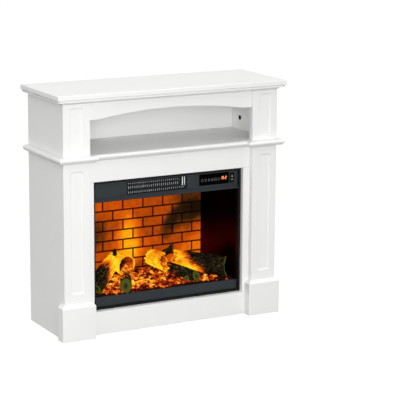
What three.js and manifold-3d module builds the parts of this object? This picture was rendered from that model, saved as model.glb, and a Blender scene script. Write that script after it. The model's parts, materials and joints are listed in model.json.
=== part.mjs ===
// Freestanding electric fireplace: a painted mantel surround with a display niche, and a black
// steel insert with a brick-patterned flame screen, a log set, a fan heater and its controls.
// Millimetres, +Z up, front towards -Y, origin under the middle of the object at floor level.

import * as THREE from 'three';
import { mergeVertices } from 'three/addons/utils/BufferGeometryUtils.js';
import Module from 'manifold-3d';

const wasm = await Module();
wasm.setup();

// ---------------------------------------------------------------- driving dimensions
const WIDTH = 800;
const DEPTH = 290;
const HEIGHT = 770;
const GAP = 0.3;                          // clearance between touching pieces

const BACK = DEPTH / 2;
const TOP_OVERHANG = 20;                  // top board beyond the pilaster faces
const FACE = -DEPTH / 2 + TOP_OVERHANG;   // front plane of the pilasters
const BODY_HALF = 376;                    // outer face of the side panels
const SIDE_T = 18;
const INNER_HALF = BODY_HALF - SIDE_T;
const BOARD_T = 15;

const TOP_T = 16;
const TOP_UNDERSIDE = HEIGHT - TOP_T;
const CORNICE_H = 14;
const CORNICE_OUT = 17;                   // cornice beyond the front of the body
const CORNICE_SIDE_OUT = 21;              // and beyond its sides
const CORNICE_BOTTOM = TOP_UNDERSIDE - CORNICE_H;

const SHELF_TOP = 578;
const SHELF_T = 21;
const SHELF_BOTTOM = SHELF_TOP - SHELF_T;
const SHELF_NOSE = 20;                    // widest line of the shelf edge beyond the body
const SHELF_FLAT = 9;                     // where the flat top of the shelf ends
const SHELF_NOSE_DROP = 8;                // top of the shelf down to its widest line
const SHELF_NOSE_BAND = 1.5;

const PILASTER_W = 90;
const PILASTER_T = 20;
const PILASTER_TONGUE = 7;                // rebated edge that meets the side panel
const PILASTER_INNER = BODY_HALF - PILASTER_W;
const SUNK_W = 44;
const SUNK_DEPTH = 4;
const SUNK_WALL = 4;                      // width of the sloping wall round a sunk panel
const SUNK_RADIUS = 8;

const PLINTH_H = 118;
const PLINTH_OUT = 12;
const PLINTH_CHAMFER = 12;

const PANEL_FACE = FACE + PILASTER_T;     // front plane of the boards round the insert
const VALANCE_FACE = FACE + 8;
const VALANCE_T = 12;
const VALANCE_BOTTOM = 686;
const ARCH_HALF = 256;
const ARCH_RISE = 21;

const OPENING_HALF = 265;
const OPENING_BOTTOM = 74.5;
const OPENING_TOP = 489;

const NICHE_BACK_T = 12;
const GROMMET_RADIUS = 6.5;
const GROMMET_FROM_BACK = 64;
const GROMMET_Z = 618;

const INSERT_W = 525;
const INSERT_H = 410;
const INSERT_FACE = PANEL_FACE + 11;      // front of the insert's trim
const INSERT_BOTTOM = 77;
const TRIM_LIP = 7;
const TRIM_DEPTH = 16;
const FASCIA_SETBACK = 7;
const SHEET_T = 1.2;
const CASE_HALF = INSERT_W / 2;
const CASE_FRONT = TRIM_DEPTH + GAP;
const CASE_BACK = 205;
const CASE_BOTTOM = 0;
const CASE_TOP = 407;

const FASCIA_TOP_Z = INSERT_H - TRIM_LIP - GAP;
const FASCIA_BEND_Z = 355;                // the flat of the top fascia ends at a crease here
const FASCIA_CREASE = 2.2;
const FASCIA_LIP_Z = 344;                 // lower edge of its flared lip
const FASCIA_LIP_OUT = 6;
const BOTTOM_FASCIA_TOP = 38;

const OUTLET = { x0: -144.5, x1: 69, z0: 358.5, z1: 399 };
const WINDOW = { x0: 113.5, x1: 222.5, z0: 362, z1: 399 };
const ROCKER = { x: 233.5, z: 379, w: 14, h: 31, tilt: 11 };

// Openings of the outlet grille: rows of upright slots, then a clear opening and two narrow ones.
const SLOTS = { columns: 25, pitch: 7.2, width: 2.8, first: -136.6 };
const SLOT_ROWS = [
  { z0: 360.5, z1: 367.2, columns: SLOTS.columns + 3 },
  { z0: 375.5, z1: 384, columns: SLOTS.columns },
  { z0: 389.8, z1: 394.6, columns: SLOTS.columns },
];
const END_OPENINGS = [
  { x0: 45.5, x1: 51.6, z0: 369.5, z1: 395 },
  { x0: 52.8, x1: 57.8, z0: 369.5, z1: 397.5 },
  { x0: 60.7, x1: 65, z0: 369.5, z1: 397.5 },
];
const END_PLATE_X = 53.4;                 // bright end plate of the heater starts here

const SCREEN_Y = 154;
const SCREEN_HALF = 199;
const LINER_FRONT_HALF = 254;
const CEILING_Z = 352;
const BED_FRONT_H = 40;
const BED_BACK_H = 74;

const GLAND = { x: -222, z: 32, r: 6 };
const BRACKET = { z0: 260, z1: 320, foot: 32, steel: 2 };
const SPINDLE = { y: 181, z: 96, r: 3, half: 188, fins: 18, finR: 17 };
const BLOWER = { x0: -118, x1: 38, y: 84, z: 375.5, r: 17, blades: 16 };

// ---------------------------------------------------------------- materials
function finish(colour, roughness, metalness = 0) {
  return new THREE.MeshStandardMaterial({ color: colour, roughness, metalness });
}

const WHITE = finish(0xf1f1ef, 0.45);
const RAW_BOARD = finish(0xe8e6df, 0.7);
const BLACK_STEEL = finish(0x1b1d1f, 0.45, 0.3);
const GREY_STEEL = finish(0x3a4145, 0.5, 0.3);
const ZINC = finish(0xb9bcbd, 0.35, 0.9);
const ALUMINIUM = finish(0xc9ccce, 0.3, 0.9);
const BLACK_PLASTIC = finish(0x101112, 0.4);
const GLOSS_BLACK = finish(0x050506, 0.1);
const BRICK = finish(0xd9762a, 0.6);
const EMBER = finish(0xd8421a, 0.8);
const GLOWING_LOG = finish(0xf0a030, 0.7);
const DARK_LOG = finish(0x33281f, 0.85);
const CIRCUIT = finish(0x1f5a35, 0.5);
const CERAMIC = finish(0xd8d3c4, 0.6);

// ---------------------------------------------------------------- solids and booleans
function toSolid(geometry) {
  const bare = geometry.index ? geometry.toNonIndexed() : geometry.clone();
  bare.deleteAttribute('normal');
  bare.deleteAttribute('uv');
  const merged = mergeVertices(bare, 1e-4);
  return new wasm.Manifold(new wasm.Mesh({
    numProp: 3,
    vertProperties: new Float32Array(merged.attributes.position.array),
    triVerts: new Uint32Array(merged.index.array),
  }));
}

function toGeometry(solid) {
  const mesh = solid.getMesh();
  const geometry = new THREE.BufferGeometry();
  geometry.setAttribute('position', new THREE.BufferAttribute(new Float32Array(mesh.vertProperties), 3));
  geometry.setIndex(new THREE.BufferAttribute(new Uint32Array(mesh.triVerts), 1));
  geometry.computeVertexNormals();
  return geometry;
}

function join(first, ...others) {
  let solid = toSolid(first);
  for (const other of others) solid = solid.add(toSolid(other));
  return toGeometry(solid);
}

function cut(first, ...others) {
  let solid = toSolid(first);
  for (const other of others) solid = solid.subtract(toSolid(other));
  return toGeometry(solid);
}

function keep(first, region) {
  return toGeometry(toSolid(first).intersect(toSolid(region)));
}

// ---------------------------------------------------------------- shape helpers
function block(x0, x1, y0, y1, z0, z1) {
  const geometry = new THREE.BoxGeometry(x1 - x0, y1 - y0, z1 - z0);
  return geometry.translate((x0 + x1) / 2, (y0 + y1) / 2, (z0 + z1) / 2);
}

function shapeOf(points) {
  return new THREE.Shape(points.map(([u, v]) => new THREE.Vector2(u, v)));
}

// An outline in X and Y, raised from z0 to z1.
function raised(shape, z0, z1, options = {}) {
  const geometry = new THREE.ExtrudeGeometry(shape, { depth: z1 - z0, bevelEnabled: false, ...options });
  return geometry.translate(0, 0, z0);
}

// An outline in X and Z, running from y0 back to y1.
function facing(shape, y0, y1, options = {}) {
  const geometry = new THREE.ExtrudeGeometry(shape, { depth: y1 - y0, bevelEnabled: false, ...options });
  return geometry.rotateX(Math.PI / 2).translate(0, y1, 0);
}

// An outline in Y and Z, running from x0 to x1.
function along(shape, x0, x1) {
  const geometry = new THREE.ExtrudeGeometry(shape, { depth: x1 - x0, bevelEnabled: false });
  return geometry.rotateX(Math.PI / 2).rotateZ(Math.PI / 2).translate(x0, 0, 0);
}

function roundedRect(x0, x1, z0, z1, radius, segments = 4) {
  const corners = [[x1 - radius, z0 + radius], [x1 - radius, z1 - radius],
    [x0 + radius, z1 - radius], [x0 + radius, z0 + radius]];
  const points = [];
  corners.forEach(([cx, cz], corner) => {
    for (let i = 0; i <= segments; i++) {
      const angle = (corner - 1) * Math.PI / 2 + (i / segments) * Math.PI / 2;
      points.push([cx + radius * Math.cos(angle), cz + radius * Math.sin(angle)]);
    }
  });
  return shapeOf(points);
}

// A round bar between two points.
function bar(from, to, r0, r1 = r0, sides = 16) {
  const start = new THREE.Vector3(...from);
  const end = new THREE.Vector3(...to);
  const direction = end.clone().sub(start);
  const geometry = new THREE.CylinderGeometry(r1, r0, direction.length(), sides);
  const turn = new THREE.Quaternion().setFromUnitVectors(new THREE.Vector3(0, 1, 0), direction.normalize());
  return geometry.applyQuaternion(turn).translate(...start.add(end).multiplyScalar(0.5).toArray());
}

function node(group, name, geometry, material) {
  const mesh = new THREE.Mesh(geometry, material);
  mesh.name = name;
  group.add(mesh);
  return mesh;
}

const SIDES = [['left', -1], ['right', 1]];

// Orders a pair of x values given as distances from the middle on one side.
function span(side, inner, outer) {
  return side < 0 ? [-outer, -inner] : [inner, outer];
}

// ---------------------------------------------------------------- mantel: top and cornice
function mantelTop() {
  const edge = 2;
  const shape = shapeOf([[-WIDTH / 2, -BACK], [WIDTH / 2, -BACK], [WIDTH / 2, BACK], [-WIDTH / 2, BACK]]);
  return raised(shape, TOP_UNDERSIDE + GAP + edge, HEIGHT - edge,
    { bevelEnabled: true, bevelThickness: edge, bevelSize: edge, bevelOffset: -edge, bevelSegments: 2 });
}

// Cornice section: distance beyond the body against height. A shadow groove runs under the top
// board, then a square fillet, then a hollow that runs back to the body.
function corniceSection() {
  const groove = { depth: 3, height: 2.4 };
  const points = [[-SIDE_T, CORNICE_BOTTOM + GAP], [0, CORNICE_BOTTOM + GAP]];
  const hollowTop = CORNICE_BOTTOM + 7;
  const hollowWidth = CORNICE_OUT - 4;
  const steps = 4;
  for (let i = 0; i <= steps; i++) {
    const angle = (i / steps) * Math.PI / 2;
    points.push([4 + hollowWidth * (1 - Math.cos(angle)) - 2,
      CORNICE_BOTTOM + GAP + 0.7 + (hollowTop - CORNICE_BOTTOM - 1) * Math.sin(angle)]);
  }
  points.push([CORNICE_OUT, hollowTop], [CORNICE_OUT, TOP_UNDERSIDE - groove.height]);
  points.push([CORNICE_OUT - groove.depth, TOP_UNDERSIDE - groove.height]);
  points.push([CORNICE_OUT - groove.depth, TOP_UNDERSIDE], [-SIDE_T, TOP_UNDERSIDE]);
  return points;
}

// The mitre line runs through the corner of the body, with unequal overhangs at front and side.
const MITRE_REACH = CORNICE_OUT + 1;
const MITRE_DEPTH = SIDE_T + 2;
const MITRE_SPREAD = CORNICE_SIDE_OUT / CORNICE_OUT;

function corniceFront() {
  const section = corniceSection().map(([out, z]) => [FACE - out, z]);
  const strip = along(shapeOf(section.reverse()), -WIDTH / 2, WIDTH / 2);
  const outer = BODY_HALF + MITRE_REACH * MITRE_SPREAD - GAP / 2;
  const inner = BODY_HALF - MITRE_DEPTH * MITRE_SPREAD - GAP / 2;
  const plan = shapeOf([[-outer, FACE - MITRE_REACH], [outer, FACE - MITRE_REACH],
    [inner, FACE + MITRE_DEPTH], [-inner, FACE + MITRE_DEPTH]]);
  return keep(strip, raised(plan, CORNICE_BOTTOM - 1, HEIGHT));
}

function corniceSide(side) {
  const section = corniceSection()
    .map(([out, z]) => [side * (BODY_HALF + (out > 0 ? out * MITRE_SPREAD : out)), z]);
  const strip = facing(shapeOf(side > 0 ? section : section.reverse()), FACE - CORNICE_OUT, BACK);
  const outer = BODY_HALF + MITRE_REACH * MITRE_SPREAD + GAP / 2;
  const inner = BODY_HALF - MITRE_DEPTH * MITRE_SPREAD + GAP / 2;
  const points = [[outer, FACE - MITRE_REACH], [outer, BACK + 1], [inner, BACK + 1], [inner, FACE + MITRE_DEPTH]];
  const plan = points.map(([x, y]) => [side * x, y]);
  return keep(strip, raised(shapeOf(side > 0 ? plan : plan.reverse()), CORNICE_BOTTOM - 1, HEIGHT));
}

// ---------------------------------------------------------------- mantel: niche
function valance() {
  const half = PILASTER_INNER - GAP;
  const radius = (ARCH_HALF ** 2 + ARCH_RISE ** 2) / (2 * ARCH_RISE);
  const centreZ = VALANCE_BOTTOM + ARCH_RISE - radius;
  const sweep = Math.asin(ARCH_HALF / radius);
  const points = [[half, VALANCE_BOTTOM], [half, CORNICE_BOTTOM], [-half, CORNICE_BOTTOM], [-half, VALANCE_BOTTOM]];
  const steps = 18;
  for (let i = 0; i <= steps; i++) {
    const angle = -sweep + (2 * sweep * i) / steps;
    points.push([radius * Math.sin(angle), centreZ + radius * Math.cos(angle)]);
  }
  return facing(shapeOf(points), VALANCE_FACE, VALANCE_FACE + VALANCE_T);
}

function sidePanel(side, z0, z1, rear = BACK) {
  const [x0, x1] = span(side, INNER_HALF, BODY_HALF);
  return block(x0, x1, FACE + PILASTER_T + PILASTER_TONGUE + GAP, rear, z0, z1);
}

function grommetHole(radius) {
  const y = BACK - GROMMET_FROM_BACK;
  return bar([INNER_HALF - 10, y, GROMMET_Z], [BODY_HALF + 10, y, GROMMET_Z], radius, radius, 24);
}

function cableGrommet() {
  const y = BACK - GROMMET_FROM_BACK;
  const bore = GROMMET_RADIUS - 2;
  const collar = GROMMET_RADIUS + 1.3;
  const profile = [[bore, -1.6], [collar, -1.6], [collar, -GAP], [GROMMET_RADIUS - GAP, -GAP],
    [GROMMET_RADIUS - GAP, SIDE_T + GAP], [collar, SIDE_T + GAP], [collar, SIDE_T + 1.6], [bore, SIDE_T + 1.6],
    [bore, -1.6]];
  const ring = new THREE.LatheGeometry(profile.map(([r, h]) => new THREE.Vector2(r, h)), 24);
  return ring.rotateZ(-Math.PI / 2).translate(INNER_HALF, y, GROMMET_Z);
}

// ---------------------------------------------------------------- mantel: shelf between niche and insert
function shelfOutline() {
  const step = PILASTER_INNER;
  return shapeOf([[-BODY_HALF, FACE], [-step, FACE], [-step, PANEL_FACE], [step, PANEL_FACE], [step, FACE],
    [BODY_HALF, FACE], [BODY_HALF, BACK], [-BODY_HALF, BACK]]);
}

function midShelf() {
  const noseTop = SHELF_TOP - SHELF_NOSE_DROP;
  const noseBottom = noseTop - SHELF_NOSE_BAND;
  const upperBevel = { bevelEnabled: true, bevelThickness: SHELF_NOSE_DROP,
    bevelSize: SHELF_NOSE - SHELF_FLAT, bevelOffset: SHELF_FLAT, bevelSegments: 4 };
  const lowerBevel = { bevelEnabled: true, bevelThickness: noseBottom - SHELF_BOTTOM,
    bevelSize: SHELF_NOSE - 1, bevelOffset: 1, bevelSegments: 2 };
  const reach = BODY_HALF + SHELF_NOSE + 1;
  const upper = keep(raised(shelfOutline(), noseBottom, noseTop, upperBevel),
    block(-reach, reach, FACE - 40, BACK, noseBottom, SHELF_TOP + 1));
  const lower = keep(raised(shelfOutline(), noseBottom, noseTop, lowerBevel),
    block(-reach, reach, FACE - 40, BACK, SHELF_BOTTOM - 1, noseBottom + 0.5));
  return join(upper, lower);
}

// ---------------------------------------------------------------- mantel: pilasters and plinths
function pilasterPlan(side, grow = 0) {
  const tongue = FACE + PILASTER_T + PILASTER_TONGUE;
  const points = [[PILASTER_INNER - grow, FACE - grow], [BODY_HALF + grow, FACE - grow],
    [BODY_HALF + grow, tongue], [INNER_HALF, tongue], [INNER_HALF, PANEL_FACE - GAP],
    [PILASTER_INNER - grow, PANEL_FACE - GAP]].map(([x, y]) => [side * x, y]);
  return shapeOf(side > 0 ? points : points.reverse());
}

function pilaster(side, z0, z1, sunk0, sunk1) {
  const middle = side * (PILASTER_INNER + PILASTER_W / 2);
  const sunk = roundedRect(middle - SUNK_W / 2, middle + SUNK_W / 2, sunk0, sunk1, SUNK_RADIUS);
  const cutter = facing(sunk, FACE - 10, FACE, { bevelEnabled: true, bevelThickness: SUNK_DEPTH,
    bevelSize: SUNK_WALL, bevelOffset: -SUNK_WALL, bevelSegments: 2 });
  return cut(raised(pilasterPlan(side), z0, z1), cutter);
}

function plinth(side) {
  const taper = { bevelEnabled: true, bevelThickness: PLINTH_CHAMFER, bevelSize: PLINTH_OUT, bevelSegments: 1 };
  const [x0, x1] = span(side, PILASTER_INNER, BODY_HALF);
  const rect = shapeOf([[x0, FACE], [x1, FACE], [x1, BACK], [x0, BACK]]);
  const cone = raised(rect, -20, PLINTH_H - PLINTH_CHAMFER, taper);
  return keep(cone, raised(pilasterPlan(side, PLINTH_OUT), 0, PLINTH_H));
}

// ---------------------------------------------------------------- build the mantel
const mantel = new THREE.Group();

node(mantel, 'mantel_top', mantelTop(), WHITE);
node(mantel, 'cornice_front', corniceFront(), WHITE);
node(mantel, 'valance', valance(), WHITE);
node(mantel, 'niche_back', block(-INNER_HALF + GAP, INNER_HALF - GAP, BACK - NICHE_BACK_T, BACK,
  SHELF_TOP + GAP, TOP_UNDERSIDE), WHITE);
node(mantel, 'mid_shelf', midShelf(), WHITE);

for (const [label, side] of SIDES) {
  node(mantel, `cornice_${label}`, corniceSide(side), WHITE);
  node(mantel, `upper_pilaster_${label}`,
    pilaster(side, SHELF_TOP + GAP, CORNICE_BOTTOM, SHELF_TOP + 13, CORNICE_BOTTOM - 13), WHITE);
  const upperSide = sidePanel(side, SHELF_TOP + GAP, CORNICE_BOTTOM);
  node(mantel, `upper_side_${label}`, side > 0 ? cut(upperSide, grommetHole(GROMMET_RADIUS)) : upperSide, WHITE);
  node(mantel, `lower_pilaster_${label}`,
    pilaster(side, PLINTH_H + GAP, SHELF_BOTTOM - GAP, PLINTH_H + 28, SHELF_BOTTOM - 26), WHITE);
  node(mantel, `lower_side_${label}`, sidePanel(side, 0, SHELF_BOTTOM - GAP), WHITE);
  node(mantel, `plinth_${label}`, plinth(side), WHITE);
  const [x0, x1] = span(side, OPENING_HALF, INNER_HALF - GAP);
  node(mantel, `stile_${label}`, block(x0, x1, PANEL_FACE, PANEL_FACE + BOARD_T,
    OPENING_BOTTOM + GAP, OPENING_TOP - GAP), WHITE);
}
node(mantel, 'cable_grommet', cableGrommet(), BLACK_PLASTIC);

const boardHalf = INNER_HALF - GAP;
node(mantel, 'header_board', block(-boardHalf, boardHalf, PANEL_FACE, PANEL_FACE + BOARD_T,
  OPENING_TOP, SHELF_BOTTOM - GAP), WHITE);
node(mantel, 'kick_board', block(-boardHalf, boardHalf, PANEL_FACE, PANEL_FACE + BOARD_T,
  0, OPENING_BOTTOM), WHITE);

const SUPPORT_TOP = INSERT_BOTTOM - GAP;
node(mantel, 'insert_shelf', block(-boardHalf, boardHalf, PANEL_FACE + BOARD_T + GAP, BACK,
  SUPPORT_TOP - BOARD_T, SUPPORT_TOP), RAW_BOARD);
node(mantel, 'rear_rail', block(-boardHalf, boardHalf, BACK - BOARD_T, BACK,
  OPENING_TOP + 10, SHELF_BOTTOM - GAP), RAW_BOARD);

// Steel angles that hold the insert's sides to the rear faces of the stiles.
for (const [label, side] of SIDES) {
  const y0 = PANEL_FACE + BOARD_T + GAP;
  const inner = CASE_HALF + GAP;
  const leg = span(side, inner, inner + BRACKET.steel);
  const foot = span(side, inner, inner + BRACKET.foot);
  node(mantel, `fixing_bracket_${label}`, join(
    block(leg[0], leg[1], y0, y0 + 30, BRACKET.z0, BRACKET.z1),
    block(foot[0], foot[1], y0, y0 + BRACKET.steel, BRACKET.z0, BRACKET.z1)), ZINC);
}

// ---------------------------------------------------------------- insert: front
const insert = new THREE.Group();
insert.position.set(0, INSERT_FACE, INSERT_BOTTOM);

const halfInsert = INSERT_W / 2;
const innerTrimHalf = halfInsert - TRIM_LIP;

function frontTrim() {
  const inner = block(-innerTrimHalf, innerTrimHalf, -1, TRIM_DEPTH + 1, TRIM_LIP, INSERT_H - TRIM_LIP);
  return cut(block(-halfInsert, halfInsert, 0, TRIM_DEPTH, 0, INSERT_H), inner);
}

function topFascia() {
  const y = FASCIA_SETBACK;
  const creaseTop = FASCIA_BEND_Z + FASCIA_CREASE;
  const section = [[y, FASCIA_TOP_Z], [y, creaseTop], [y + 1.5, creaseTop - 0.4], [y + 1.5, FASCIA_BEND_Z],
    [y - FASCIA_LIP_OUT, FASCIA_LIP_Z + 2], [y - FASCIA_LIP_OUT, FASCIA_LIP_Z],
    [y - FASCIA_LIP_OUT + 2, FASCIA_LIP_Z], [y + 3.5, FASCIA_BEND_Z - 1], [y + 3.5, creaseTop + 0.6],
    [y + 2, creaseTop + 1], [y + 2, FASCIA_TOP_Z]];
  const half = innerTrimHalf - GAP;
  const plate = along(shapeOf(section), -half, half);
  const slot = ROCKER.w / 2 + 1;
  return cut(plate,
    block(OUTLET.x0, OUTLET.x1, 0, 20, OUTLET.z0, OUTLET.z1),
    block(WINDOW.x0, WINDOW.x1, 0, 20, WINDOW.z0, WINDOW.z1),
    block(ROCKER.x - slot, ROCKER.x + slot, 0, 20, ROCKER.z - ROCKER.h / 2 - 1, ROCKER.z + ROCKER.h / 2 + 1));
}

function bottomFascia() {
  const y = FASCIA_SETBACK;
  const section = [[y, BOTTOM_FASCIA_TOP], [y, TRIM_LIP + GAP], [y + 2, TRIM_LIP + GAP],
    [y + 2, BOTTOM_FASCIA_TOP - 2], [y + 8, BOTTOM_FASCIA_TOP - 2], [y + 8, BOTTOM_FASCIA_TOP]];
  return along(shapeOf(section), -innerTrimHalf + GAP, innerTrimHalf - GAP);
}

// Pressed grille: a plate with rows of upright slots between flat bands, and taller openings at its
// right end.
function outletGrille() {
  const y = FASCIA_SETBACK + 3;
  const plate = block(OUTLET.x0 + GAP, OUTLET.x1 - GAP, y, y + SHEET_T, OUTLET.z0 + GAP, OUTLET.z1 - GAP);
  const openings = END_OPENINGS.map(({ x0, x1, z0, z1 }) => block(x0, x1, y - 1, y + 3, z0, z1));
  for (const { z0, z1, columns } of SLOT_ROWS) {
    for (let i = 0; i < columns; i++) {
      const x = SLOTS.first + i * SLOTS.pitch;
      openings.push(block(x, x + SLOTS.width, y - 1, y + 3, z0, z1));
    }
  }
  return cut(plate, ...openings);
}

function displayWindow() {
  const y = FASCIA_SETBACK - 0.6;
  return block(WINDOW.x0 + GAP, WINDOW.x1 - GAP, y, y + 3, WINDOW.z0 + GAP, WINDOW.z1 - GAP);
}

function rockerBezel() {
  const y = FASCIA_SETBACK;
  const outer = roundedRect(ROCKER.x - ROCKER.w / 2 - 0.7, ROCKER.x + ROCKER.w / 2 + 0.7,
    ROCKER.z - ROCKER.h / 2 - 0.7, ROCKER.z + ROCKER.h / 2 + 0.7, 4);
  const inner = roundedRect(ROCKER.x - ROCKER.w / 2 + 1, ROCKER.x + ROCKER.w / 2 - 1,
    ROCKER.z - ROCKER.h / 2 + 1, ROCKER.z + ROCKER.h / 2 - 1, 1.5);
  const pocket = facing(inner, y - 2, y + 10);
  return cut(facing(outer, y - 1, y + 14), pocket);
}

// The rocker's face is a shallow V about its pivot, so that one half stands proud at each end of travel.
function powerRocker() {
  const half = ROCKER.h / 2 - 2.2;
  const rise = half * Math.tan(THREE.MathUtils.degToRad(ROCKER.tilt));
  const section = [[-half, 0], [0, rise * 0.4], [half, 0], [half * 0.8, -4], [-half * 0.8, -4]];
  const shape = shapeOf(section.map(([z, out]) => [-out, z]));
  const width = ROCKER.w / 2 - 1.4;
  return along(shape, -width, width);
}

node(insert, 'front_trim', frontTrim(), BLACK_STEEL);
node(insert, 'top_fascia', topFascia(), GREY_STEEL);
node(insert, 'bottom_fascia', bottomFascia(), GREY_STEEL);
node(insert, 'outlet_grille', outletGrille(), BLACK_STEEL);
node(insert, 'display_window', displayWindow(), GLOSS_BLACK);
node(insert, 'rocker_bezel', rockerBezel(), BLACK_PLASTIC);
const rocker = node(insert, 'power_rocker', powerRocker(), BLACK_PLASTIC);
rocker.position.set(ROCKER.x, FASCIA_SETBACK - 0.5, ROCKER.z);
rocker.rotation.x = THREE.MathUtils.degToRad(-ROCKER.tilt);

// ---------------------------------------------------------------- insert: casing
const caseInner = CASE_HALF - SHEET_T;

function rearCover() {
  const plate = block(-CASE_HALF, CASE_HALF, CASE_BACK - SHEET_T, CASE_BACK, CASE_BOTTOM, CASE_TOP);
  const slots = [];
  for (const [z0, z1] of [[360, 390], [20, 40]]) {
    for (let i = 0; i < 14; i++) {
      const x = -104 + i * 16;
      slots.push(block(x - 2.5, x + 2.5, CASE_BACK - 5, CASE_BACK + 5, z0, z1));
    }
  }
  const gland = bar([GLAND.x, CASE_BACK - 5, GLAND.z], [GLAND.x, CASE_BACK + 5, GLAND.z], GLAND.r);
  return cut(plate, gland, ...slots);
}

node(insert, 'case_bottom', block(-CASE_HALF, CASE_HALF, CASE_FRONT, CASE_BACK - SHEET_T - GAP,
  CASE_BOTTOM, CASE_BOTTOM + SHEET_T), BLACK_STEEL);
node(insert, 'case_top', block(-CASE_HALF, CASE_HALF, CASE_FRONT, CASE_BACK - SHEET_T - GAP,
  CASE_TOP - SHEET_T, CASE_TOP), BLACK_STEEL);
for (const [label, side] of SIDES) {
  const [x0, x1] = span(side, caseInner, CASE_HALF);
  node(insert, `case_${label}`, block(x0, x1, CASE_FRONT, CASE_BACK - SHEET_T - GAP,
    CASE_BOTTOM + SHEET_T + GAP, CASE_TOP - SHEET_T - GAP), BLACK_STEEL);
}
node(insert, 'rear_cover', rearCover(), BLACK_STEEL);

function cordGland() {
  const neck = GLAND.r - GAP;
  const profile = [[2.5, -6], [8, -6], [8, -GAP - SHEET_T], [neck, -GAP - SHEET_T], [neck, GAP], [9, GAP],
    [7, 12], [2.5, 12], [2.5, -6]];
  const ring = new THREE.LatheGeometry(profile.map(([r, h]) => new THREE.Vector2(r, h)), 16);
  return ring.translate(GLAND.x, CASE_BACK, GLAND.z);
}
node(insert, 'cord_gland', cordGland(), BLACK_PLASTIC);

// ---------------------------------------------------------------- insert: firebox
for (const [label, side] of SIDES) {
  const front = TRIM_DEPTH + GAP;
  const points = [[LINER_FRONT_HALF, front], [LINER_FRONT_HALF + SHEET_T, front],
    [SCREEN_HALF + SHEET_T, SCREEN_Y - GAP], [SCREEN_HALF, SCREEN_Y - GAP]].map(([x, y]) => [side * x, y]);
  node(insert, `liner_${label}`,
    raised(shapeOf(side > 0 ? points : points.reverse()), CASE_BOTTOM + SHEET_T + GAP, CEILING_Z - GAP), BLACK_STEEL);
}

const ceilingPlan = shapeOf([[-innerTrimHalf + 1, FASCIA_SETBACK + 6], [innerTrimHalf - 1, FASCIA_SETBACK + 6],
  [SCREEN_HALF + 4, SCREEN_Y + 6], [-SCREEN_HALF - 4, SCREEN_Y + 6]]);
node(insert, 'firebox_ceiling', raised(ceilingPlan, CEILING_Z, CEILING_Z + SHEET_T), BLACK_STEEL);
node(insert, 'flame_screen', block(-SCREEN_HALF - 4, SCREEN_HALF + 4, SCREEN_Y, SCREEN_Y + 3,
  CASE_BOTTOM + SHEET_T + 12, CEILING_Z - GAP), BRICK);

// ---------------------------------------------------------------- insert: log set
// Each log is a tapered bar of ten sides, given by its two end points and radii. A twig is a thinner
// bar that grows from it. A log is notched where it rests on the logs before it.
const LOGS = [
  { name: 'log_right', from: [240, 44, 70], to: [72, 92, 112], r0: 38, r1: 27, glows: false },
  { name: 'log_left', from: [-246, 36, 62], to: [-166, 84, 122], r0: 28, r1: 26, glows: false },
  { name: 'log_arch', from: [-124, 52, 118], to: [-136, 112, 122], r0: 36, r1: 30, glows: true,
    twig: { from: [-148, 84, 142], to: [-149, 86, 167], r0: 8, r1: 6 } },
  { name: 'log_centre', from: [15, 54, 112], to: [-14, 104, 124], r0: 30, r1: 27, glows: true,
    twig: { from: [22, 92, 130], to: [60, 98, 146], r0: 9, r1: 8 } },
  { name: 'log_front', from: [120, 24, 58], to: [42, 62, 88], r0: 17, r1: 20, glows: false,
    twig: { from: [84, 36, 68], to: [74, 14, 60], r0: 9, r1: 8 } },
  { name: 'log_stub', from: [-141, 22, 56], to: [-120, 62, 86], r0: 20, r1: 17, glows: false,
    twig: { from: [-128, 48, 82], to: [-126, 38, 97], r0: 9, r1: 8 } },
];

function logSolid({ from, to, r0, r1, twig }, grow = 0) {
  const trunk = bar(from, to, r0 + grow, r1 + grow, 10);
  return twig ? join(trunk, bar(twig.from, twig.to, twig.r0 + grow, twig.r1 + grow, 8)) : trunk;
}

// The room between the two liners, which trims the logs that lie against them.
function firebox() {
  const front = TRIM_DEPTH + GAP;
  const plan = shapeOf([[-LINER_FRONT_HALF, FASCIA_SETBACK], [LINER_FRONT_HALF, FASCIA_SETBACK],
    [LINER_FRONT_HALF - GAP, front], [SCREEN_HALF - GAP, SCREEN_Y - GAP],
    [-SCREEN_HALF + GAP, SCREEN_Y - GAP], [-LINER_FRONT_HALF + GAP, front]]);
  return raised(plan, CASE_BOTTOM + SHEET_T + GAP, CEILING_Z - GAP);
}

function emberBed() {
  const y0 = FASCIA_SETBACK + 14;
  const y1 = SCREEN_Y - 4;
  const bottom = 14;
  const section = [[y0, bottom], [y1, bottom], [y1, BED_BACK_H], [y0 + 60, BED_BACK_H - 8], [y0, BED_FRONT_H]];
  const frontHalf = LINER_FRONT_HALF - 4;
  const backHalf = SCREEN_HALF + 1;
  const plan = shapeOf([[-frontHalf, y0 - 1], [frontHalf, y0 - 1], [backHalf, y1 + 1], [-backHalf, y1 + 1]]);
  const bed = keep(along(shapeOf(section), -frontHalf, frontHalf), raised(plan, 0, BED_BACK_H + 10));
  return cut(bed, ...LOGS.map((log) => logSolid(log, GAP)));
}

LOGS.forEach((log, index) => {
  const earlier = LOGS.slice(0, index).map((other) => logSolid(other, GAP));
  const notched = cut(keep(logSolid(log), firebox()), ...earlier);
  node(insert, log.name, notched, log.glows ? GLOWING_LOG : DARK_LOG);
});
node(insert, 'ember_bed', emberBed(), EMBER);

// ---------------------------------------------------------------- insert: flame effect
node(insert, 'led_board', block(-180, 180, SPINDLE.y - 12, SPINDLE.y + 12, 22, 24), CIRCUIT);

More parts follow.
